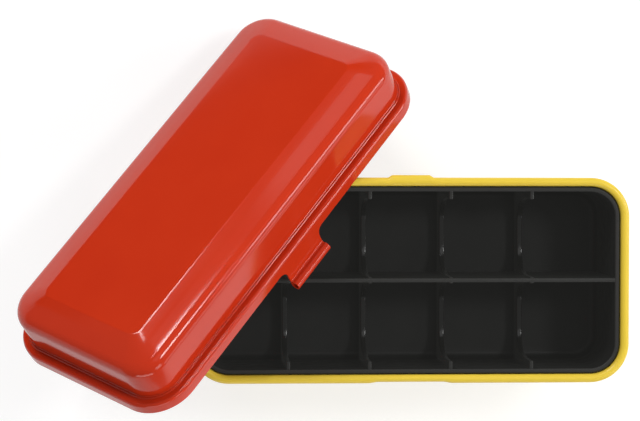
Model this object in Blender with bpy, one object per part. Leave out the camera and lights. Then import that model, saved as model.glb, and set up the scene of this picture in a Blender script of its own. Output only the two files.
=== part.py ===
import math

import bmesh
import bpy
from mathutils import Matrix, Vector

# Film storage case: a deep steel base, a moulded insert with ten compartments, and a lid that
# has been taken off and leans on the base's back rim.
# Metres, +Z up. Origin: middle of the base's underside. +X along the case, -Y to the front.

# Steel base
base_length = 0.1715
base_width = 0.0800
base_height = 0.0644
base_corner_radius = 0.0153
base_bottom_radius = 0.0060
steel_thickness = 0.0006
bead_radius = 0.00165

# Rim details at the middle of the long sides
front_flat_depth = 0.0005
front_flat_half_length = 0.0125
front_flat_ramp = 0.0040
catch_lip_depth = 0.0010
catch_lip_half_length = 0.0070
catch_lip_ramp = 0.0022

# Moulded insert
tray_clearance = 0.00045
tray_wall = 0.00165
tray_drop = 0.0018
compartment_depth = 0.0400
tray_floor_thickness = 0.0016
tray_floor_radius = 0.0030
tray_draft = 0.0004
tray_foot_width = 0.0040
columns_per_row = 5
rib_pitch = 0.0317
rib_thickness_top = 0.0015
rib_thickness_bottom = 0.0022
rib_cut_depth = 0.0324
rib_horn_length = 0.0030
rib_cut_power = 4.0
divider_thickness_top = 0.0016
divider_thickness_bottom = 0.0024
divider_horn_length = 0.0004

# Steel lid
skirt_gap = 0.00075
skirt_height = 0.0049
skirt_edge_radius = 0.0013
skirt_corner_ease = 0.00065
ledge_width = 0.0041
ledge_fillet = 0.0004
foot_step_width = 0.00095
foot_step_height = 0.00045
foot_step_lean = 0.0002
foot_step_fillet = 0.00035
foot_step_round = 0.00025
wall_corner_step = 0.0010
wall_top_height = 0.0205
wall_top_radius = 0.0052
bevel_width = 0.0129
bevel_rise = 0.0046
crease_radius = 0.0020
crease_corner_radius = 0.0040

# Latch tabs
tab_width = 0.0210
tab_root_radius = 0.0035
tab_flat_length = 0.0090
tab_curl_radius = 0.0019
tab_curl_turn = 290.0

# Fits
part_gap = 0.0003

# How the lid leans: its top's direction, its heading, and where its skirt lies on the back rim
lean_azimuth = 118.69
lean_heading = 59.06
bearing_on_rim = -0.0222
bearing_on_skirt = 0.0368

# Curve resolution
corner_steps = 8
fillet_steps = 4
bead_steps = 12
curl_steps = 14
rib_cut_steps = 16

# Derived sizes of the base
base_half_length = base_length / 2
base_half_width = base_width / 2
base_inner_inset = 2 * bead_radius
base_wall_inset = base_inner_inset - steel_thickness
bead_height = base_height - bead_radius

# Derived sizes of the insert
tray_inset = base_inner_inset + tray_clearance
tray_top = base_height - tray_drop
tray_floor_top = tray_top - compartment_depth
tray_floor_bottom = tray_floor_top - tray_floor_thickness
tray_inner_half_width = base_half_width - tray_inset - tray_wall

# Derived sizes of the lid
skirt_reach = skirt_gap + steel_thickness
skirt_half_length = base_half_length + skirt_reach
skirt_half_width = base_half_width + skirt_reach
skirt_corner_radius = base_corner_radius + skirt_reach + skirt_corner_ease
wall_corner_radius = skirt_corner_radius - ledge_width - wall_corner_step
lid_height = wall_top_height + bevel_rise


def clear_scene():
    for item in list(bpy.data.objects):
        bpy.data.objects.remove(item, do_unlink=True)


def make_material(name, colour, roughness, metallic=0.0):
    material = bpy.data.materials.new(name)
    material.use_nodes = True
    shader = material.node_tree.nodes["Principled BSDF"]
    shader.inputs["Base Color"].default_value = (*colour, 1.0)
    shader.inputs["Roughness"].default_value = roughness
    shader.inputs["Metallic"].default_value = metallic
    return material


def add_object(name, mesh, material):
    obj = bpy.data.objects.new(name, mesh)
    bpy.context.scene.collection.objects.link(obj)
    mesh.materials.append(material)
    mesh.shade_smooth()
    mesh.set_sharp_from_angle(angle=math.radians(32))
    return obj


def add_empty(name, matrix):
    empty = bpy.data.objects.new(name, None)
    bpy.context.scene.collection.objects.link(empty)
    empty.empty_display_size = 0.01
    empty.matrix_world = matrix
    return empty


def mesh_from(name, points, faces):
    mesh = bpy.data.meshes.new(name)
    work = bmesh.new()
    verts = [work.verts.new(point) for point in points]
    for face in faces:
        work.faces.new([verts[index] for index in face])
    bmesh.ops.recalc_face_normals(work, faces=work.faces)
    work.to_mesh(mesh)
    work.free()
    return mesh


def loft(name, rings):
    # Closed solid through rings of equal count, capped at the first and the last ring.
    count = len(rings[0])
    points = [point for ring in rings for point in ring]
    faces = [list(range(count))]
    for row in range(len(rings) - 1):
        for column in range(count):
            after = (column + 1) % count
            low = row * count
            high = low + count
            faces.append([low + column, low + after, high + after, high + column])
    faces.append([(len(rings) - 1) * count + index for index in range(count)])
    return mesh_from(name, points, faces)


def rounded_ring(half_length, half_width, radius, z, stations=()):
    # Rounded rectangle, counter-clockwise; the stations are extra x positions on the long sides.
    ring = []
    for turn in range(4):
        sign_x = 1 if turn in (0, 3) else -1
        sign_y = 1 if turn in (0, 1) else -1
        centre_x = sign_x * (half_length - radius)
        centre_y = sign_y * (half_width - radius)
        for step in range(corner_steps + 1):
            angle = math.pi / 2 * (turn + step / corner_steps)
            ring.append(Vector((centre_x + radius * math.cos(angle),
                                centre_y + radius * math.sin(angle), z)))
        if turn == 0:
            ring.extend(Vector((x, half_width, z)) for x in sorted(stations, reverse=True))
        if turn == 2:
            ring.extend(Vector((x, -half_width, z)) for x in sorted(stations))
    return ring


def fillet(points, radii, steps):
    # Rounds the inner corners of an open polyline of (inset, z) points.
    result = [Vector(points[0])]
    for index in range(1, len(points) - 1):
        corner = Vector(points[index])
        before = (Vector(points[index - 1]) - corner).normalized()
        after = (Vector(points[index + 1]) - corner).normalized()
        half = before.angle(after) / 2
        reach = radii[index] / math.tan(half)
        centre = corner + (before + after).normalized() * (radii[index] / math.sin(half))
        start = corner + before * reach - centre
        end = corner + after * reach - centre
        first = math.atan2(start.y, start.x)
        sweep = (math.atan2(end.y, end.x) - first + math.pi) % (2 * math.pi) - math.pi
        for step in range(steps + 1):
            angle = first + sweep * step / steps
            result.append(centre + Vector((math.cos(angle), math.sin(angle))) * radii[index])
    result.append(Vector(points[-1]))
    return result


def offset_line(points, distance):
    # Shifts an open polyline to its right-hand side.
    lines = []
    for start, end in zip(points, points[1:]):
        along = (Vector(end) - Vector(start)).normalized()
        side = Vector((along.y, -along.x)) * distance
        lines.append((Vector(start) + side, along, Vector(end) + side))
    result = [lines[0][0]]
    for (point, along, _), (other, across, _) in zip(lines, lines[1:]):
        gap = other - point
        cross = along.x * across.y - along.y * across.x
        result.append(point + along * ((gap.x * across.y - gap.y * across.x) / cross))
    result.append(lines[-1][2])
    return result


def ramp(distance, half_length, width):
    # 1 inside the half length, fading to 0 over the width.
    share = (half_length + width - abs(distance)) / width
    share = min(1.0, max(0.0, share))
    return share * share * (3 - 2 * share)


def base_ring(inset, z, pressed):
    stations = []
    for half, width in ((front_flat_half_length, front_flat_ramp),
                        (catch_lip_half_length, catch_lip_ramp)):
        for share in (0.0, 0.5, 1.0):
            stations.extend((half + width * share, -half - width * share))
    ring = rounded_ring(base_half_length - inset, base_half_width - inset,
                        base_corner_radius - inset, z, stations)
    if pressed:
        share = 1 - inset / base_inner_inset
        for point in ring:
            if point.y < 0:
                point.y += share * front_flat_depth * ramp(
                    point.x, front_flat_half_length, front_flat_ramp)
            else:
                point.y += share * catch_lip_depth * ramp(
                    point.x, catch_lip_half_length, catch_lip_ramp)
    return ring


def quarter(radius_in, radius_up, centre_in, centre_up):
    # Quarter arc from a floor's edge out and up to a wall, as (inset, z) pairs.
    result = []
    for step in range(fillet_steps + 1):
        angle = math.pi / 2 * step / fillet_steps
        result.append((centre_in - radius_in * math.sin(angle),
                       centre_up - radius_up * math.cos(angle)))
    return result


def build_base(material):
    inner_radius = base_bottom_radius - steel_thickness
    centre_inset = base_wall_inset + base_bottom_radius
    outside = quarter(base_bottom_radius, base_bottom_radius, centre_inset, base_bottom_radius)
    inside = quarter(inner_radius, inner_radius, centre_inset, base_bottom_radius)
    rings = [base_ring(inset, z, False) for inset, z in outside]
    start = math.acos((base_wall_inset - bead_radius) / bead_radius)
    for step in range(bead_steps + 1):
        angle = start + (2 * math.pi - start) * step / bead_steps
        rings.append(base_ring(bead_radius * (1 + math.cos(angle)),
                               bead_height - bead_radius * math.sin(angle), True))
    rings.extend(base_ring(inset, z, False) for inset, z in reversed(inside))
    return add_object("base_shell", loft("base_shell", rings), material)


def tray_ring(inset, z):
    return rounded_ring(base_half_length - inset, base_half_width - inset,
                        base_corner_radius - inset, z)


def tray_profile():
    # From the middle of the compartment floor over the lip and down to the underside.
    inner = tray_inset + tray_wall
    foot_radius = base_bottom_radius - steel_thickness
    foot_inset = base_inner_inset + foot_radius
    foot_height = steel_thickness + foot_radius
    foot_end = foot_inset + tray_foot_width
    foot_bottom = steel_thickness + part_gap
    floor_arc = quarter(tray_floor_radius, tray_floor_radius,
                        inner + tray_draft + tray_floor_radius, tray_floor_top + tray_floor_radius)
    foot_arc = quarter(foot_radius - tray_clearance, foot_radius - part_gap,
                       foot_inset, foot_height)
    hollow_arc = quarter(foot_radius - tray_clearance - tray_wall,
                         foot_radius - part_gap - tray_wall, foot_inset, foot_height)
    profile = list(floor_arc)
    profile.append((inner, tray_top - part_gap))
    profile.append((inner - part_gap, tray_top))
    profile.append((tray_inset + part_gap, tray_top))
    profile.append((tray_inset, tray_top - part_gap))
    profile.extend(reversed(foot_arc))
    profile.append((foot_end, foot_bottom))
    profile.append((foot_end, foot_bottom + tray_wall))
    profile.extend(hollow_arc)
    profile.append((inner, tray_floor_bottom))
    return profile


def wedge_bar(name, outline, half_top, half_bottom, across):
    # Upright bar with draft: the outline holds (along, z) pairs, the faces lean with z.
    top = tray_top
    bottom = tray_floor_top
    sides = []
    for sign in (1, -1):
        for along, z in outline:
            share = (z - bottom) / (top - bottom)
            half = sign * (half_bottom + (half_top - half_bottom) * share)
            sides.append((half, along, z) if across else (along, half, z))
    count = len(outline)
    faces = [list(range(count)), list(range(count, 2 * count))]
    for index in range(count):
        after = (index + 1) % count
        faces.append([index, after, count + after, count + index])
    return mesh_from(name, sides, faces)


def rib_outline():
    # Low rib with a wide U cut on each side of the divider.
    wall_inside = tray_inner_half_width
    outer_end = wall_inside + tray_wall / 2
    horn = wall_inside - rib_horn_length
    near = divider_thickness_top / 2 + divider_horn_length
    middle = (horn + near) / 2
    half = (horn - near) / 2
    level = tray_top - 2 * part_gap
    cut = []
    for step in range(rib_cut_steps + 1):
        angle = math.pi * step / rib_cut_steps
        side = math.copysign(abs(math.cos(angle)) ** (2 / rib_cut_power), math.cos(angle))
        down = abs(math.sin(angle)) ** (2 / rib_cut_power)
        cut.append((middle + half * side, level - rib_cut_depth * down))
    right = [(outer_end, level)] + cut
    left = [(-along, z) for along, z in reversed(right)]
    bottom = tray_floor_top - tray_floor_thickness / 2
    return right + left + [(-outer_end, bottom), (outer_end, bottom)]


def divider_outline():
    end = base_half_length - tray_inset - tray_wall / 2
    bottom = tray_floor_top - tray_floor_thickness / 2
    level = tray_top - part_gap
    return [(-end, bottom), (end, bottom), (end, level), (-end, level)]


def join_bar(target, name, mesh, place):
    bar = bpy.data.objects.new(name, mesh)
    bpy.context.scene.collection.objects.link(bar)
    bar.location = (place, 0, 0)
    bar.hide_render = True
    bar.display_type = "WIRE"
    union = target.modifiers.new(name, "BOOLEAN")
    union.operation = "UNION"
    union.solver = "EXACT"
    union.object = bar


def build_tray(material):
    rings = [tray_ring(inset, z) for inset, z in tray_profile()]
    tray = add_object("inner_tray", loft("inner_tray", rings), material)
    divider = wedge_bar("divider_bar", divider_outline(), divider_thickness_top / 2,
                        divider_thickness_bottom / 2, False)
    join_bar(tray, "divider_bar", divider, 0)
    for index in range(columns_per_row - 1):
        place = rib_pitch * (index - (columns_per_row - 2) / 2)
        name = f"rib_bar_{index + 1}"
        rib = wedge_bar(name, rib_outline(), rib_thickness_top / 2,
                        rib_thickness_bottom / 2, True)
        join_bar(tray, name, rib, place)
    return tray


def lid_corner_radius(inset):
    if inset < ledge_width:
        share = inset / ledge_width
        return skirt_corner_radius + (wall_corner_radius - skirt_corner_radius) * share
    share = min(1.0, (inset - ledge_width) / bevel_width)
    return wall_corner_radius + (crease_corner_radius - wall_corner_radius) * share


def lid_profiles():
    # Outside from the skirt's edge to the flat top, with a small step at the wall's foot, and
    # the inside one sheet further in.
    crease = ledge_width + bevel_width
    step = ledge_width - foot_step_width
    step_top = skirt_height + foot_step_height
    top = [(ledge_width, wall_top_height), (crease, lid_height),
           (crease + crease_radius, lid_height)]
    foot = [(0, 0), (0, skirt_height), (step, skirt_height), (step + foot_step_lean, step_top),
            (ledge_width, step_top)]
    outside = fillet(foot + top, [0, skirt_edge_radius, foot_step_fillet, foot_step_round,
                                  ledge_fillet, wall_top_radius, crease_radius, 0], fillet_steps)
    plain = [(0, 0), (0, skirt_height), (ledge_width, skirt_height)] + top
    inside = fillet(offset_line(plain, steel_thickness),
                    [0, skirt_edge_radius - steel_thickness, ledge_fillet + steel_thickness,
                     wall_top_radius - steel_thickness, crease_radius - steel_thickness, 0],
                    fillet_steps)
    return outside, inside


def build_lid(material, parent):
    outside, inside = lid_profiles()
    rings = []
    for inset, z in list(reversed(outside)) + list(inside):
        rings.append(rounded_ring(skirt_half_length - inset, skirt_half_width - inset,
                                  lid_corner_radius(inset), z))
    lid = add_object("lid_shell", loft("lid_shell", rings), material)
    lid.parent = parent
    return lid


def tab_stations():
    # Middle of the sheet as (out, z, normal, half width), from the root to the curl's end.
    stations = []
    root_steps = 5
    for step in range(root_steps + 1):
        share = (step / root_steps) ** 1.6
        z = -part_gap - (tab_root_radius - part_gap) * share
        flare = tab_root_radius - math.sqrt(tab_root_radius ** 2 - (tab_root_radius + z) ** 2)
        stations.append((0.0, z, (1.0, 0.0), tab_width / 2 + flare))
    middle_radius = tab_curl_radius - steel_thickness / 2
    for step in range(curl_steps + 1):
        angle = math.pi + math.radians(tab_curl_turn) * step / curl_steps
        out = middle_radius + middle_radius * math.cos(angle)
        z = -tab_flat_length + middle_radius * math.sin(angle)
        stations.append((out, z, (-math.cos(angle), -math.sin(angle)), tab_width / 2))
    return stations


def build_tab(name, material, parent, side):
    half = steel_thickness / 2
    rings = []
    for out, z, normal, width in tab_stations():
        ring = []
        for along, depth in ((-width, -half), (width, -half), (width, half), (-width, half)):
            ring.append((along, -(out + normal[0] * depth), z + normal[1] * depth))
        rings.append(ring)
    tab = add_object(name, loft(name, rings), material)
    tab.parent = parent
    tab.location = (0, side * (skirt_half_width - half), 0)
    tab.rotation_euler = (0, 0, 0 if side < 0 else math.pi)
    return tab


def lean_at(angle):
    # Lid's place when its top leans over by this angle and its skirt lies on the back rim.
    azimuth = math.radians(lean_azimuth)
    axis = Vector((-math.sin(azimuth), math.cos(azimuth), 0))
    turn = (Matrix.Rotation(angle, 3, axis)
            @ Matrix.Rotation(math.radians(lean_heading), 3, "Z"))
    along = turn @ Vector((1, 0, 0))
    across = turn @ Vector((0, 1, 0))
    upward = Vector((0, -along.z, along.y)).normalized()
    bearing = (Vector((bearing_on_rim, base_half_width - bead_radius, bead_height))
               + upward * (bead_radius + part_gap))
    edge = Vector((bearing_on_skirt, steel_thickness - skirt_half_width, 0))
    origin = bearing - turn @ edge
    lowest = (origin.z - (skirt_half_length - skirt_corner_radius) * abs(along.z)
              - (skirt_half_width - skirt_corner_radius) * abs(across.z)
              - skirt_corner_radius * math.hypot(along.z, across.z))
    return turn, origin, lowest


def lean_lid():
    # The steeper the lid, the lower its bottom corner; stop when that corner meets the floor.
    flat = math.radians(15)
    steep = math.radians(75)
    for _ in range(60):
        middle = (flat + steep) / 2
        if lean_at(middle)[2] > 0:
            flat = middle
        else:
            steep = middle
    turn, origin, _ = lean_at(flat)
    return Matrix.Translation(origin) @ turn.to_4x4()


clear_scene()
yellow_steel = make_material("yellow_paint", (0.80, 0.56, 0.065), 0.35)
black_plastic = make_material("black_plastic", (0.012, 0.012, 0.013), 0.45)
red_steel = make_material("red_paint", (0.55, 0.035, 0.012), 0.25)
build_base(yellow_steel)
build_tray(black_plastic)
lid_frame = add_empty("lid_frame", lean_lid())
build_lid(red_steel, lid_frame)
build_tab("front_latch_tab", red_steel, lid_frame, -1)
build_tab("rear_latch_tab", red_steel, lid_frame, 1)
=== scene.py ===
import math

import bmesh
import bpy
from mathutils import Euler, Matrix, Vector


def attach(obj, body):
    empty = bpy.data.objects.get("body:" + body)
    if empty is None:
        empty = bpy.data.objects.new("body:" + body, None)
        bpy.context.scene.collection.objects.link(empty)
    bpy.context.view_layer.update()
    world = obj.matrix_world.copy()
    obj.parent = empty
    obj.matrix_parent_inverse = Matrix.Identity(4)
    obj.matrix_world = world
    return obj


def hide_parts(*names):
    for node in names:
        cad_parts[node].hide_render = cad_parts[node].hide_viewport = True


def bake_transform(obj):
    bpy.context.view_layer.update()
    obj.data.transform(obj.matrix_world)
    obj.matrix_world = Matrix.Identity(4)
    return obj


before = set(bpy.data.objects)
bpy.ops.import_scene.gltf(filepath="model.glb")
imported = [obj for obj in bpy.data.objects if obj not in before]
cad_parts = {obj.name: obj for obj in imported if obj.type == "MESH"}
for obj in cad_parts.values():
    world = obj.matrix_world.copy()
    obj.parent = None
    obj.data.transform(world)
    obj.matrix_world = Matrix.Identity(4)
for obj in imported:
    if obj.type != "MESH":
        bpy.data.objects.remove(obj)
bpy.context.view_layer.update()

# Sizes are in metres and angles in degrees. They are the solids' own, apart from a few forms
# that only catch the light: the bevel's bulge and its rounder crease, the facets at the wall's
# foot and on the skirt's edge, and the paint in the tabs' seams.

# Base. A pressed place in the rim has a depth, half a length and the width of its ramps.
BASE_LENGTH = 0.1715
BASE_WIDTH = 0.0800
BASE_HEIGHT = 0.0644
BASE_CORNER = 0.0153
BASE_BOTTOM_RADIUS = 0.0060
STEEL = 0.0006
BEAD = 0.00165
FRONT_FLAT = (0.0005, 0.0125, 0.0040)
CATCH_LIP = (0.0010, 0.0070, 0.0022)

# Insert
TRAY_CLEARANCE = 0.00045
TRAY_WALL = 0.00165
TRAY_DROP = 0.0018
TRAY_LIP_EDGE = 0.00045
TRAY_LIP_DEPTH = 0.004
CELL_DEPTH = 0.0400
TRAY_FLOOR = 0.0016
TRAY_FLOOR_RADIUS = 0.0030
TRAY_DRAFT = 0.0004
TRAY_FOOT = 0.0040
COLUMNS = 5
RIB_PITCH = 0.0317
RIB_TOP = 0.0015
RIB_BOTTOM = 0.0022
RIB_CUT = 0.0324
RIB_HORN = 0.0030
RIB_POWER = 4.0
DIVIDER_TOP = 0.0016
DIVIDER_BOTTOM = 0.0024
DIVIDER_HORN = 0.0004
BAR_ROUNDING = 0.0004
# How far below the insert's top the painted highlight on its top edges reaches
TOP_HIGHLIGHT_DEPTH = 0.0012

# Lid
SKIRT_GAP = 0.00075
SKIRT_HEIGHT = 0.0049
SKIRT_EDGE = 0.0013
SKIRT_SHOULDER = 0.0010
SKIRT_CUT = 0.00103
SKIRT_CORNER_EASE = 0.00065
LEDGE = 0.0041
LEDGE_FILLET = 0.0004
FOOT_STEP_WIDTH = 0.00095
FOOT_STEP_HEIGHT = 0.00045
FOOT_LEAN = 29.3
FOOT_CHAMFER = 0.00016
FOOT_FILLET = 0.00014
WALL_CORNER_STEP = 0.0010
WALL_TOP = 0.0205
WALL_TOP_RADIUS = 0.0052
BEVEL_WIDTH = 0.0129
BEVEL_RISE = 0.0046
BEVEL_BULGE = 0.0002
BULGE_RADIUS = 0.045
CREASE_RADIUS = 0.0030
CREASE_CORNER = 0.0040

# Latch tabs
TAB_WIDTH = 0.0210
TAB_ROOT = 0.0035
TAB_FLAT = 0.0090
TAB_CURL = 0.0019
TAB_TURN = 290.0
FLARE_SPACING = 1.8
SEAM_RADIUS = 0.0008
SEAM_SINK = 0.00002
SEAM_TAIL = 10.0

# How the lid leans on the base, touching at one point along the rim and along the skirt
GAP = 0.0003
LEAN_AZIMUTH = 118.69
LEAN_HEADING = 59.06
BEARING_ON_RIM = -0.0222
BEARING_ON_SKIRT = 0.0368
LEAN_LEAST = 15
LEAN_MOST = 75
LEAN_HALVINGS = 60

# Sizes that follow from these
HALF_LENGTH = BASE_LENGTH / 2
HALF_WIDTH = BASE_WIDTH / 2
INNER_INSET = 2 * BEAD
WALL_INSET = INNER_INSET - STEEL
BEAD_HEIGHT = BASE_HEIGHT - BEAD
TRAY_INSET = INNER_INSET + TRAY_CLEARANCE
TRAY_TOP = BASE_HEIGHT - TRAY_DROP
CELL_FLOOR = TRAY_TOP - CELL_DEPTH
SKIRT_REACH = SKIRT_GAP + STEEL
SKIRT_HALF_LENGTH = HALF_LENGTH + SKIRT_REACH
SKIRT_HALF_WIDTH = HALF_WIDTH + SKIRT_REACH
SKIRT_CORNER = BASE_CORNER + SKIRT_REACH + SKIRT_CORNER_EASE
WALL_CORNER = SKIRT_CORNER - LEDGE - WALL_CORNER_STEP
LID_HEIGHT = WALL_TOP + BEVEL_RISE

# Curve resolution
CORNER_STEPS = 28
FILLET_STEPS = 8
LIP_STEPS = 5
BEAD_STEPS = 28
RAMP_STEPS = 12
CUT_STEPS = 56
ROUNDING_STEPS = 4
FLARE_STEPS = 16
FLAT_STEPS = 6
CURL_STEPS = 40
SEAM_STEPS = 20

# Colours, linear
RED = (0.56, 0.031, 0.0075)
RED_LIGHT = (0.585, 0.035, 0.0085)
YELLOW = (0.79, 0.570, 0.050)
YELLOW_LIGHT = (0.82, 0.595, 0.058)
ENAMEL_IOR = 1.38
PLASTIC = (0.0085, 0.0086, 0.0080)
PLASTIC_DEEP = (0.0075, 0.0076, 0.0071)
PLASTIC_LIGHT = (0.0096, 0.0097, 0.0091)
# Painted highlight colour for the insert's top edges
PLASTIC_TOP_HIGHLIGHT = (0.0235, 0.0236, 0.0226)
# A faint painted glow of the black plastic, which is no lamp
PAINTED_GLOW_COLOUR = (1.0, 1.0, 0.93)
PAINTED_GLOW = 0.0100
WHITE = (1.0, 1.0, 1.0)
PAPER = (0.42, 0.42, 0.42)
CARD_BLACK = (0.01, 0.01, 0.01)

# Floor, whose glow rises from left to right of the picture between two places along X
FLOOR_HALF_SIZE = 3.0
FLOOR_GLOW_LEFT = 0.67
FLOOR_GLOW_RIGHT = 1.37
FLOOR_RAMP_START = 0.06
FLOOR_RAMP_END = 0.26
WORLD_GREY = 0.24

# Lamps face a point inside the case, from one distance
AIM = Vector((-0.02, 0.02, 0.05))
LAMP_DISTANCE = 1.2
# Name, azimuth from X, elevation, width, height, glow and roll
SOFT_BOXES = (
    ("side_box", 12.0, 24.0, 0.22, 0.62, 7.6, 28.0),
    ("high_box", 23.1, 56.2, 0.20, 0.22, 20.0, 19.0),
    ("back_strip", 108.4, 44.9, 0.024, 0.37, 28.0, -48.0),
    ("back_strip_end", 103.7, 41.3, 0.05, 0.06, 22.0, -48.0),
    ("low_back_box", 121.7, 23.2, 0.30, 0.45, 14.0, 31.0),
    ("back_glow", 94.0, 28.5, 0.18, 0.22, 1.05, -48.0),
    ("back_glow_middle", 94.0, 28.5, 0.08, 0.18, 0.8, -48.0),
    ("front_right_box", -45.0, 38.0, 0.40, 0.40, 3.4, 0.0),
    ("right_fill", -14.0, 13.0, 0.70, 0.30, 1.6, 0.0),
    ("front_fill", -95.0, 16.0, 1.00, 0.36, 2.5, 0.0),
    ("top_box", 62.0, 70.0, 0.50, 0.50, 0.5, 0.0),
)

# Black card behind the case
CARD_AZIMUTH = 122.0
CARD_DISTANCE = 0.70
CARD_HALF_WIDTH = 0.45
CARD_HEIGHT = 0.24

# Camera, fitted to the photo
SENSOR_WIDTH = 36.0
LENS = 125.946
CAMERA_TURN = (-1.5097, -3.5133, 0.1060)
CAMERA_PLACE = Vector((-0.08853, 0.04994, 0.86539 + BEAD_HEIGHT))
CLIP_NEAR = 0.01
CLIP_FAR = 20.0


# Meshes

def add_object(name, work, sharp, matrix=None):
    # Turns a bmesh into a smooth object that keeps edges above the sharp angle.
    mesh = bpy.data.meshes.new(name)
    work.to_mesh(mesh)
    work.free()
    if matrix is not None:
        mesh.transform(matrix)
    obj = bpy.data.objects.new(name, mesh)
    bpy.context.scene.collection.objects.link(obj)
    mesh.shade_smooth()
    mesh.set_sharp_from_angle(angle=math.radians(sharp))
    return obj


def mesh_object(name, points, faces, sharp=30, matrix=None):
    work = bmesh.new()
    verts = [work.verts.new(point) for point in points]
    for face in faces:
        work.faces.new([verts[index] for index in face])
    bmesh.ops.recalc_face_normals(work, faces=work.faces)
    return add_object(name, work, sharp, matrix)


def loft_faces(count, rows):
    # Joins rows of count points each, and closes both ends.
    faces = [list(range(count))]
    for row in range(rows - 1):
        for column in range(count):
            after = (column + 1) % count
            low = row * count
            high = low + count
            faces.append([low + column, low + after, high + after, high + column])
    faces.append([(rows - 1) * count + index for index in range(count)])
    return faces


def loft(name, rings, sharp, matrix=None):
    points = [point for ring in rings for point in ring]
    return mesh_object(name, points, loft_faces(len(rings[0]), len(rings)), sharp, matrix)


def rounded_ring(half_length, half_width, radius, z, stations=()):
    # A rectangle with round corners, with extra points at these places along its long sides.
    ring = []
    for turn in range(4):
        sign_x = 1 if turn in (0, 3) else -1
        sign_y = 1 if turn in (0, 1) else -1
        centre_x = sign_x * (half_length - radius)
        centre_y = sign_y * (half_width - radius)
        for step in range(CORNER_STEPS + 1):
            angle = math.pi / 2 * (turn + step / CORNER_STEPS)
            ring.append(Vector((centre_x + radius * math.cos(angle),
                                centre_y + radius * math.sin(angle), z)))
        if turn == 0:
            ring.extend(Vector((x, half_width, z)) for x in sorted(stations, reverse=True))
        if turn == 2:
            ring.extend(Vector((x, -half_width, z)) for x in sorted(stations))
    return ring


def fillet(points, radii, steps):
    # Rounds the corners of an open polyline of (inset, z) points.
    result = [Vector(points[0])]
    for index in range(1, len(points) - 1):
        corner = Vector(points[index])
        before = (Vector(points[index - 1]) - corner).normalized()
        after = (Vector(points[index + 1]) - corner).normalized()
        half = before.angle(after) / 2
        reach = radii[index] / math.tan(half)
        centre = corner + (before + after).normalized() * (radii[index] / math.sin(half))
        start = corner + before * reach - centre
        end = corner + after * reach - centre
        first = math.atan2(start.y, start.x)
        sweep = (math.atan2(end.y, end.x) - first + math.pi) % (2 * math.pi) - math.pi
        for step in range(steps + 1):
            angle = first + sweep * step / steps
            result.append(centre + Vector((math.cos(angle), math.sin(angle))) * radii[index])
    result.append(Vector(points[-1]))
    return result


def offset_line(points, distance):
    # Moves an open polyline sideways, keeping its corners.
    lines = []
    for start, end in zip(points, points[1:]):
        along = (Vector(end) - Vector(start)).normalized()
        side = Vector((along.y, -along.x)) * distance
        lines.append((Vector(start) + side, along, Vector(end) + side))
    result = [lines[0][0]]
    for (point, along, _), (other, across, _) in zip(lines, lines[1:]):
        gap = other - point
        cross = along.x * across.y - along.y * across.x
        result.append(point + along * ((gap.x * across.y - gap.y * across.x) / cross))
    result.append(lines[-1][2])
    return result


def quarter(radius_in, radius_up, centre_in, centre_up):
    # A quarter turn from below its centre to its outer side, as (inset, z) points.
    result = []
    for step in range(FILLET_STEPS + 1):
        angle = math.pi / 2 * step / FILLET_STEPS
        result.append((centre_in - radius_in * math.sin(angle),
                       centre_up - radius_up * math.cos(angle)))
    return result


# Base

def ramp(distance, half_length, width):
    # 1 on the pressed place, falling smoothly to 0 over the width beyond it.
    share = min(1.0, max(0.0, (half_length + width - abs(distance)) / width))
    return share * share * (3 - 2 * share)


def base_stations():
    stations = set()
    for _, half, width in (FRONT_FLAT, CATCH_LIP):
        for step in range(RAMP_STEPS + 1):
            place = half + width * step / RAMP_STEPS
            stations.update((round(place, 7), round(-place, 7)))
    return sorted(stations)


def base_ring(inset, z, pressed):
    ring = rounded_ring(HALF_LENGTH - inset, HALF_WIDTH - inset, BASE_CORNER - inset, z,
                        base_stations())
    if pressed:
        share = 1 - inset / INNER_INSET
        for point in ring:
            depth, half, width = FRONT_FLAT if point.y < 0 else CATCH_LIP
            point.y += share * depth * ramp(point.x, half, width)
    return ring


def make_base():
    inner_radius = BASE_BOTTOM_RADIUS - STEEL
    centre = WALL_INSET + BASE_BOTTOM_RADIUS
    outside = quarter(BASE_BOTTOM_RADIUS, BASE_BOTTOM_RADIUS, centre, BASE_BOTTOM_RADIUS)
    inside = quarter(inner_radius, inner_radius, centre, BASE_BOTTOM_RADIUS)
    rings = [base_ring(inset, z, False) for inset, z in outside]
    start = math.acos((WALL_INSET - BEAD) / BEAD)
    for step in range(BEAD_STEPS + 1):
        angle = start + (2 * math.pi - start) * step / BEAD_STEPS
        rings.append(base_ring(BEAD * (1 + math.cos(angle)),
                               BEAD_HEIGHT - BEAD * math.sin(angle), True))
    rings.extend(base_ring(inset, z, False) for inset, z in reversed(inside))
    return loft("base_skin", rings, sharp=40)


# Insert

def tray_ring(inset, z):
    return rounded_ring(HALF_LENGTH - inset, HALF_WIDTH - inset, BASE_CORNER - inset, z)


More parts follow.
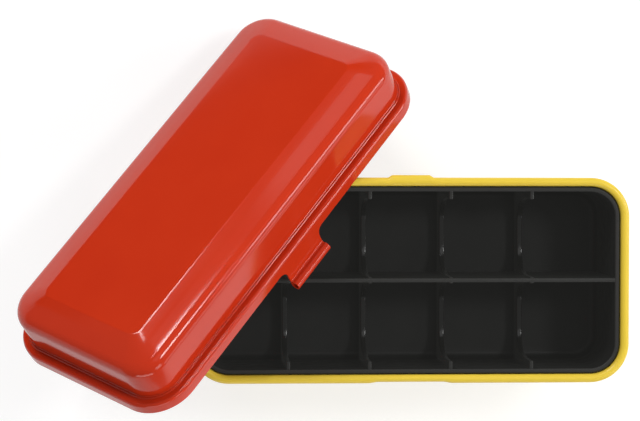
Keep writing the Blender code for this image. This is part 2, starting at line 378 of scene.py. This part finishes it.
def tray_profile():
    inner = TRAY_INSET + TRAY_WALL
    foot_radius = BASE_BOTTOM_RADIUS - STEEL
    foot_inset = INNER_INSET + foot_radius
    foot_height = STEEL + foot_radius
    foot_bottom = STEEL + GAP
    profile = quarter(TRAY_FLOOR_RADIUS, TRAY_FLOOR_RADIUS,
                      inner + TRAY_DRAFT + TRAY_FLOOR_RADIUS, CELL_FLOOR + TRAY_FLOOR_RADIUS)
    lip_bottom = TRAY_TOP - TRAY_LIP_DEPTH
    lip = fillet([(inner, lip_bottom), (inner, TRAY_TOP), (TRAY_INSET, TRAY_TOP),
                  (TRAY_INSET, lip_bottom)], [0, TRAY_LIP_EDGE, TRAY_LIP_EDGE, 0], LIP_STEPS)
    profile.extend((point.x, point.y) for point in lip)
    profile.extend(reversed(quarter(foot_radius - TRAY_CLEARANCE, foot_radius - GAP,
                                    foot_inset, foot_height)))
    profile.append((foot_inset + TRAY_FOOT, foot_bottom))
    profile.append((foot_inset + TRAY_FOOT, foot_bottom + TRAY_WALL))
    profile.extend(quarter(foot_radius - TRAY_CLEARANCE - TRAY_WALL,
                           foot_radius - GAP - TRAY_WALL, foot_inset, foot_height))
    profile.append((inner, CELL_FLOOR - TRAY_FLOOR))
    return profile


def bar(name, outline, top, bottom, place=None):
    # An upright wall of the insert, with draft from its bottom width to its top width, and with
    # rounded top edges. It runs along the insert, or across it at the given place.
    sides = []
    for sign in (1, -1):
        for along, z in outline:
            share = (z - CELL_FLOOR) / CELL_DEPTH
            half = sign * (bottom + (top - bottom) * share) / 2
            sides.append((along, half, z) if place is None else (half + place, along, z))
    count = len(outline)
    work = bmesh.new()
    verts = [work.verts.new(point) for point in sides]
    front = work.faces.new(verts[:count])
    back = work.faces.new(verts[count:])
    for index in range(count):
        after = (index + 1) % count
        work.faces.new([verts[index], verts[after], verts[count + after], verts[count + index]])
    bmesh.ops.recalc_face_normals(work, faces=work.faces)
    edges = [edge for edge in list(front.edges) + list(back.edges)
             if max(vert.co.z for vert in edge.verts) > CELL_FLOOR]
    bmesh.ops.bevel(work, geom=edges, offset=BAR_ROUNDING, segments=ROUNDING_STEPS, profile=0.5,
                    affect="EDGES", clamp_overlap=True)
    return add_object(name, work, sharp=35)


def rib_outline():
    # The rib is cut low in each row, along half a superellipse, and keeps a horn at the wall.
    wall_inside = HALF_WIDTH - TRAY_INSET - TRAY_WALL
    outer_end = wall_inside + TRAY_WALL / 2
    horn = wall_inside - RIB_HORN
    near = DIVIDER_TOP / 2 + DIVIDER_HORN
    middle = (horn + near) / 2
    half = (horn - near) / 2
    level = TRAY_TOP - 2 * GAP
    cut = []
    for step in range(CUT_STEPS + 1):
        angle = math.pi * step / CUT_STEPS
        side = math.copysign(abs(math.cos(angle)) ** (2 / RIB_POWER), math.cos(angle))
        down = abs(math.sin(angle)) ** (2 / RIB_POWER)
        cut.append((middle + half * side, level - RIB_CUT * down))
    right = [(outer_end, level)] + cut
    left = [(-along, z) for along, z in reversed(right)]
    bottom = CELL_FLOOR - TRAY_FLOOR / 2
    return right + left + [(-outer_end, bottom), (outer_end, bottom)]


def divider_outline():
    end = HALF_LENGTH - TRAY_INSET - TRAY_WALL / 2
    bottom = CELL_FLOOR - TRAY_FLOOR / 2
    level = TRAY_TOP - GAP
    return [(-end, bottom), (end, bottom), (end, level), (-end, level)]


def make_tray():
    skin = loft("tray_skin", [tray_ring(inset, z) for inset, z in tray_profile()], sharp=40)
    divider = bar("tray_divider", divider_outline(), DIVIDER_TOP, DIVIDER_BOTTOM)
    ribs = []
    for index in range(COLUMNS - 1):
        place = RIB_PITCH * (index - (COLUMNS - 2) / 2)
        ribs.append(bar(f"tray_rib_{index + 1}", rib_outline(), RIB_TOP, RIB_BOTTOM, place))
    return skin, divider, ribs


# Lid

def lean_at(angle):
    # The lid's turn and origin when it leans by this angle, and the height of its lowest point.
    azimuth = math.radians(LEAN_AZIMUTH)
    axis = Vector((-math.sin(azimuth), math.cos(azimuth), 0))
    turn = (Matrix.Rotation(angle, 3, axis)
            @ Matrix.Rotation(math.radians(LEAN_HEADING), 3, "Z"))
    along = turn @ Vector((1, 0, 0))
    across = turn @ Vector((0, 1, 0))
    upward = Vector((0, -along.z, along.y)).normalized()
    bearing = (Vector((BEARING_ON_RIM, HALF_WIDTH - BEAD, BEAD_HEIGHT))
               + upward * (BEAD + GAP))
    edge = Vector((BEARING_ON_SKIRT, STEEL - SKIRT_HALF_WIDTH, 0))
    origin = bearing - turn @ edge
    lowest = (origin.z - (SKIRT_HALF_LENGTH - SKIRT_CORNER) * abs(along.z)
              - (SKIRT_HALF_WIDTH - SKIRT_CORNER) * abs(across.z)
              - SKIRT_CORNER * math.hypot(along.z, across.z))
    return turn, origin, lowest


def lean_lid():
    # Finds the lean at which the lid's lowest point is on the floor.
    flat = math.radians(LEAN_LEAST)
    steep = math.radians(LEAN_MOST)
    for _ in range(LEAN_HALVINGS):
        middle = (flat + steep) / 2
        if lean_at(middle)[2] > 0:
            flat = middle
        else:
            steep = middle
    turn, origin, _ = lean_at(flat)
    return Matrix.Translation(origin) @ turn.to_4x4()


def lid_corner(inset):
    # The lid's corner radius in plan, where it is this far in from the skirt.
    if inset < LEDGE:
        return SKIRT_CORNER + (WALL_CORNER - SKIRT_CORNER) * inset / LEDGE
    share = min(1.0, (inset - LEDGE) / BEVEL_WIDTH)
    return WALL_CORNER + (CREASE_CORNER - WALL_CORNER) * share


def bulge(start, end):
    # Two points that lift the straight line between start and end into a shallow arc.
    start = Vector(start)
    end = Vector(end)
    along = end - start
    out = Vector((-along.y, along.x)).normalized() * BEVEL_BULGE
    return [tuple(start + along / 3 + out), tuple(start + along * 2 / 3 + out)]


def lid_profiles():
    # The outside, with a small step at the wall's foot, and the inside, one sheet further in.
    crease = LEDGE + BEVEL_WIDTH
    step = LEDGE - FOOT_STEP_WIDTH
    step_top = SKIRT_HEIGHT + FOOT_STEP_HEIGHT
    lean = math.tan(math.radians(FOOT_LEAN))
    wall_top = (LEDGE, WALL_TOP)
    top_edge = (crease, LID_HEIGHT)
    flat = (crease + 2 * CREASE_RADIUS, LID_HEIGHT)
    foot = [(0, 0), (0, SKIRT_HEIGHT - SKIRT_CUT), (SKIRT_CUT * lean, SKIRT_HEIGHT),
            (step, SKIRT_HEIGHT),
            (step + FOOT_STEP_HEIGHT * lean, step_top), (LEDGE - FOOT_CHAMFER, step_top),
            (LEDGE, step_top + FOOT_CHAMFER / lean)]
    outside = fillet(foot + [wall_top] + bulge(wall_top, top_edge) + [top_edge, flat],
                     [0, SKIRT_EDGE, SKIRT_SHOULDER, FOOT_FILLET, FOOT_FILLET, FOOT_FILLET,
                      FOOT_FILLET, WALL_TOP_RADIUS, BULGE_RADIUS, BULGE_RADIUS, CREASE_RADIUS, 0],
                     FILLET_STEPS)
    plain = [(0, 0), (0, SKIRT_HEIGHT), (LEDGE, SKIRT_HEIGHT), wall_top, top_edge, flat]
    inside = fillet(offset_line(plain, STEEL),
                    [0, SKIRT_EDGE - STEEL, LEDGE_FILLET + STEEL, WALL_TOP_RADIUS - STEEL,
                     CREASE_RADIUS - STEEL, 0], FILLET_STEPS)
    return outside, inside


def make_lid():
    outside, inside = lid_profiles()
    rings = []
    for inset, z in list(reversed(outside)) + list(inside):
        rings.append(rounded_ring(SKIRT_HALF_LENGTH - inset, SKIRT_HALF_WIDTH - inset,
                                  lid_corner(inset), z))
    return loft("lid_skin", rings, sharp=45, matrix=LID_MATRIX)


def tab_stations():
    # Places down the tab and round its curl: out, z, the sheet's normal and half a width.
    stations = []
    flat = (1.0, 0.0)
    for step in range(FLARE_STEPS + 1):
        z = -TAB_ROOT * (step / FLARE_STEPS) ** FLARE_SPACING
        flare = TAB_ROOT - math.sqrt(max(0.0, TAB_ROOT ** 2 - (TAB_ROOT + z) ** 2))
        stations.append((0.0, z, flat, TAB_WIDTH / 2 + flare))
    for step in range(1, FLAT_STEPS):
        z = -TAB_ROOT - (TAB_FLAT - TAB_ROOT) * step / FLAT_STEPS
        stations.append((0.0, z, flat, TAB_WIDTH / 2))
    middle_radius = TAB_CURL - STEEL / 2
    for step in range(CURL_STEPS + 1):
        angle = math.pi + math.radians(TAB_TURN) * step / CURL_STEPS
        stations.append((middle_radius + middle_radius * math.cos(angle),
                         -TAB_FLAT + middle_radius * math.sin(angle),
                         (-math.cos(angle), -math.sin(angle)), TAB_WIDTH / 2))
    return stations


def tab_matrix(side):
    # A tab's place on the lid: side is -1 for the front tab and 1 for the rear one.
    turn = Matrix.Rotation(0 if side < 0 else math.pi, 4, "Z")
    place = Matrix.Translation((0, side * (SKIRT_HALF_WIDTH - STEEL / 2), 0))
    return LID_MATRIX @ place @ turn


def make_tab(name, side):
    half = STEEL / 2
    rings = []
    for out, z, normal, width in tab_stations():
        corners = [(-width, -half), (width, -half), (width, half), (-width, half)]
        rings.append([(along, -(out + normal[0] * depth), z + normal[1] * depth)
                      for along, depth in corners])
    return loft(name, rings, sharp=50, matrix=tab_matrix(side))


def make_tab_seam(name, side):
    # The paint that fills the seam where the curl comes back to the tab: a concave fillet
    # between the tab's face and the curl, sunk a little into both.
    face = STEEL / 2
    curl_out = TAB_CURL - STEEL / 2
    out = face + SEAM_RADIUS
    up = math.sqrt((TAB_CURL + SEAM_RADIUS) ** 2 - (curl_out - out) ** 2)
    end = math.atan2(-up, curl_out - out)
    profile = []
    for step in range(SEAM_STEPS + 1):
        angle = -math.pi + (end + math.pi) * step / SEAM_STEPS
        profile.append((out + SEAM_RADIUS * math.cos(angle) - SEAM_SINK,
                        up + SEAM_RADIUS * math.sin(angle) - SEAM_SINK))
    curl_end = math.radians(TAB_TURN - 180)
    for angle in (curl_end, curl_end + math.radians(SEAM_TAIL)):
        profile.append((curl_out + (TAB_CURL - SEAM_SINK) * math.cos(angle),
                        (TAB_CURL - SEAM_SINK) * math.sin(angle)))
    profile.append((face - SEAM_SINK, TAB_CURL - STEEL))
    rings = [[(along, -across, z - TAB_FLAT) for across, z in profile]
             for along in (-TAB_WIDTH / 2, TAB_WIDTH / 2)]
    return loft(name, rings, sharp=30, matrix=tab_matrix(side))


# Materials

def new_material(name, colour, roughness):
    material = bpy.data.materials.new(name)
    material.use_nodes = True
    shader = material.node_tree.nodes["Principled BSDF"]
    shader.inputs["Base Color"].default_value = (*colour, 1.0)
    shader.inputs["Roughness"].default_value = roughness
    return material, shader


def link(tree, source, target):
    tree.links.new(source, target)


def add_place(tree, axis):
    # The object's own coordinate along one axis.
    coordinates = tree.nodes.new("ShaderNodeTexCoord")
    axes = tree.nodes.new("ShaderNodeSeparateXYZ")
    link(tree, coordinates.outputs["Object"], axes.inputs["Vector"])
    return axes.outputs[axis]


def add_noise(tree, scale, detail):
    coordinates = tree.nodes.new("ShaderNodeTexCoord")
    noise = tree.nodes.new("ShaderNodeTexNoise")
    noise.inputs["Scale"].default_value = scale
    noise.inputs["Detail"].default_value = detail
    link(tree, coordinates.outputs["Object"], noise.inputs["Vector"])
    return noise.outputs["Fac"]


def add_range(tree, source, low, high, start=0.3, end=0.7):
    # Maps the stretch from start to end, which suits a noise unless given, onto low to high.
    node = tree.nodes.new("ShaderNodeMapRange")
    node.inputs["From Min"].default_value = start
    node.inputs["From Max"].default_value = end
    node.inputs["To Min"].default_value = low
    node.inputs["To Max"].default_value = high
    link(tree, source, node.inputs["Value"])
    return node.outputs["Result"]


def add_mix(tree, factor, first, second):
    # A colour is three numbers or the output of another node.
    node = tree.nodes.new("ShaderNodeMix")
    node.data_type = "RGBA"
    for name, colour in (("A", first), ("B", second)):
        if isinstance(colour, bpy.types.NodeSocket):
            link(tree, colour, node.inputs[name])
        else:
            node.inputs[name].default_value = (*colour, 1.0)
    link(tree, factor, node.inputs["Factor"])
    return node.outputs["Result"]


def add_math(tree, operation, first, second):
    node = tree.nodes.new("ShaderNodeMath")
    node.operation = operation
    link(tree, first, node.inputs[0])
    link(tree, second, node.inputs[1])
    return node.outputs[0]


def add_bump(tree, height, strength, distance, normal=None):
    node = tree.nodes.new("ShaderNodeBump")
    node.inputs["Strength"].default_value = strength
    node.inputs["Distance"].default_value = distance
    link(tree, height, node.inputs["Height"])
    if normal is not None:
        link(tree, normal, node.inputs["Normal"])
    return node.outputs["Normal"]


def enamel(name, deep, light, roughness):
    # Stoved paint on pressed steel: slightly uneven in colour and gloss, over the slow ripple of
    # the sheet, with faint orange peel.
    material, shader = new_material(name, deep, roughness)
    tree = material.node_tree
    shader.inputs["IOR"].default_value = ENAMEL_IOR
    patches = add_range(tree, add_noise(tree, scale=38.0, detail=3.0), 0.0, 1.0)
    link(tree, add_mix(tree, patches, deep, light), shader.inputs["Base Color"])
    rough = add_range(tree, add_noise(tree, scale=160.0, detail=3.0),
                      low=roughness * 0.95, high=roughness * 1.06)
    link(tree, rough, shader.inputs["Roughness"])
    ripple = add_bump(tree, add_noise(tree, scale=45.0, detail=1.0),
                      strength=0.06, distance=0.0004)
    peel = add_bump(tree, add_noise(tree, scale=900.0, detail=1.0),
                    strength=0.04, distance=0.00006, normal=ripple)
    link(tree, peel, shader.inputs["Normal"])
    return material


def moulded_plastic(name, gloss, roughness):
    # Black plastic, paler near its top edges: a painted highlight for the sheen those edges catch.
    # A very faint even
    #     # glow, painted light from plastic that is no lamp, keeps the deep compartments from
    #     going quite black.
    material, shader = new_material(name, PLASTIC, roughness)
    tree = material.node_tree
    shader.inputs["Specular IOR Level"].default_value = gloss
    # Painted light: the plastic glows faintly and evenly, though it is no lamp
    shader.inputs["Emission Color"].default_value = (*PAINTED_GLOW_COLOUR, 1.0)
    shader.inputs["Emission Strength"].default_value = PAINTED_GLOW
    tone = add_range(tree, add_noise(tree, scale=60.0, detail=4.0), 0.0, 1.0)
    body = add_mix(tree, tone, PLASTIC_DEEP, PLASTIC_LIGHT)
    # Painted highlight: paler colour on the top edges, for the sheen they catch
    top_highlight = add_range(tree, add_place(tree, "Z"), 0.0, 1.0,
                     start=TRAY_TOP - TOP_HIGHLIGHT_DEPTH, end=TRAY_TOP - TOP_HIGHLIGHT_DEPTH / 3)
    link(tree, add_mix(tree, top_highlight, body, PLASTIC_TOP_HIGHLIGHT), shader.inputs["Base Color"])
    rough = add_range(tree, add_noise(tree, scale=240.0, detail=3.0),
                      low=roughness * 0.9, high=roughness * 1.1)
    link(tree, rough, shader.inputs["Roughness"])
    grain = add_bump(tree, add_noise(tree, scale=1400.0, detail=3.0),
                     strength=0.15, distance=0.00008)
    link(tree, grain, shader.inputs["Normal"])
    return material


def paint(obj, material, slot, *nodes):
    # The nodes are the solids that this piece replaces.
    obj.data.materials.append(material)
    if nodes:
        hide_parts(*nodes)


def dress(obj, material, body, slot, *nodes):
    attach(obj, body)
    paint(obj, material, slot, *nodes)


def dress_tab(name, node, side):
    # The tab is one sheet with the lid, baked in place. Its seam rides on the body that has the
    # tab's name.
    tab = make_tab(f"{name}_skin", side)
    paint(tab, red, "red_paint", node)
    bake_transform(tab)
    dress(make_tab_seam(f"{name}_seam", side), red, name, "red_paint")


# Stage

def make_floor():
    # White paper. Its glow is only for rays that look at it, so that it lights nothing.
    material, shader = new_material("floor_paper", PAPER, 0.9)
    tree = material.node_tree
    paths = tree.nodes.new("ShaderNodeLightPath").outputs
    seen = add_math(tree, "MAXIMUM", paths["Is Camera Ray"], paths["Is Glossy Ray"])
    seen = add_math(tree, "MAXIMUM", seen, paths["Is Transmission Ray"])
    glow = add_range(tree, add_place(tree, "X"), FLOOR_GLOW_LEFT, FLOOR_GLOW_RIGHT,
                     start=FLOOR_RAMP_START, end=FLOOR_RAMP_END)
    shader.inputs["Emission Color"].default_value = (*WHITE, 1.0)
    link(tree, add_math(tree, "MULTIPLY", seen, glow), shader.inputs["Emission Strength"])
    size = FLOOR_HALF_SIZE
    points = [(-size, -size, 0), (size, -size, 0), (size, size, 0), (-size, size, 0)]
    floor = mesh_object("floor", points, [[0, 1, 2, 3]])
    floor.data.materials.append(material)


def make_world():
    # An even grey light. The floor fills the picture, so the camera sees this grey only in a
    # view from lower than about 8 degrees.
    world = bpy.data.worlds.new("studio")
    bpy.context.scene.world = world
    world.use_nodes = True
    background = world.node_tree.nodes["Background"]
    background.inputs["Color"].default_value = (WORLD_GREY, WORLD_GREY, WORLD_GREY, 1.0)


def soft_box(name, azimuth, elevation, width, height, glow, roll):
    # A lamp at this bearing (degrees from +X) and elevation, facing the case. Its glow is the
    # brightness of its face, where 1 renders as white.
    light = bpy.data.lights.new(name, "AREA")
    light.shape = "RECTANGLE"
    light.size = width
    light.size_y = height
    light.energy = 4 * width * height * glow
    lamp = bpy.data.objects.new(name, light)
    bpy.context.scene.collection.objects.link(lamp)
    bearing = math.radians(azimuth)
    rise = math.radians(elevation)
    away = Vector((math.cos(bearing) * math.cos(rise), math.sin(bearing) * math.cos(rise),
                   math.sin(rise)))
    facing = (-away).to_track_quat("-Z", "Y").to_matrix()
    matrix = (facing @ Matrix.Rotation(math.radians(roll), 3, "Z")).to_4x4()
    matrix.translation = AIM + away * LAMP_DISTANCE
    lamp.matrix_world = matrix


def make_dark_card():
    # A black card that stands behind the case, outside the picture, and keeps the lid's flat
    # top from mirroring the far floor. The camera doesn't see it, so that it never hides the case.
    bearing = math.radians(CARD_AZIMUTH)
    away = Vector((math.cos(bearing), math.sin(bearing), 0))
    middle = Vector((AIM.x, AIM.y, 0)) + away * CARD_DISTANCE
    along = Vector((-away.y, away.x, 0)) * CARD_HALF_WIDTH
    upward = Vector((0, 0, CARD_HEIGHT))
    points = [middle - along, middle + along, middle + along + upward, middle - along + upward]
    card = mesh_object("dark_card", points, [[0, 1, 2, 3]])
    material, _ = new_material("card_black", CARD_BLACK, 0.9)
    card.data.materials.append(material)
    card.visible_camera = False


def make_camera():
    data = bpy.data.cameras.new("camera")
    data.sensor_width = SENSOR_WIDTH
    data.lens = LENS
    data.clip_start = CLIP_NEAR
    data.clip_end = CLIP_FAR
    camera = bpy.data.objects.new("camera", data)
    bpy.context.scene.collection.objects.link(camera)
    turn = Euler([math.radians(angle) for angle in CAMERA_TURN])
    camera.matrix_world = Matrix.Translation(CAMERA_PLACE) @ turn.to_matrix().to_4x4()
    bpy.context.scene.camera = camera


# Scene

LID_MATRIX = lean_lid()

red = enamel("red_enamel", RED, RED_LIGHT, roughness=0.11)
yellow = enamel("yellow_enamel", YELLOW, YELLOW_LIGHT, roughness=0.3)
black = moulded_plastic("black_moulding", gloss=0.16, roughness=0.42)
smooth_black = moulded_plastic("black_ribs", gloss=0.42, roughness=0.12)

dress(make_base(), yellow, "base", "yellow_paint", "base_shell")
tray_skin, tray_divider, tray_ribs = make_tray()
dress(tray_skin, black, "tray", "black_plastic", "inner_tray")
dress(tray_divider, black, "tray", "black_plastic")
for tray_rib in tray_ribs:
    dress(tray_rib, smooth_black, "tray", "black_plastic")
dress(make_lid(), red, "lid", "red_paint", "lid_shell")
dress_tab("front_tab", "front_latch_tab", side=-1)
dress_tab("rear_tab", "rear_latch_tab", side=1)

make_floor()
make_world()
for box in SOFT_BOXES:
    soft_box(*box)
make_dark_card()
make_camera()

bpy.context.scene.view_settings.view_transform = "Standard"
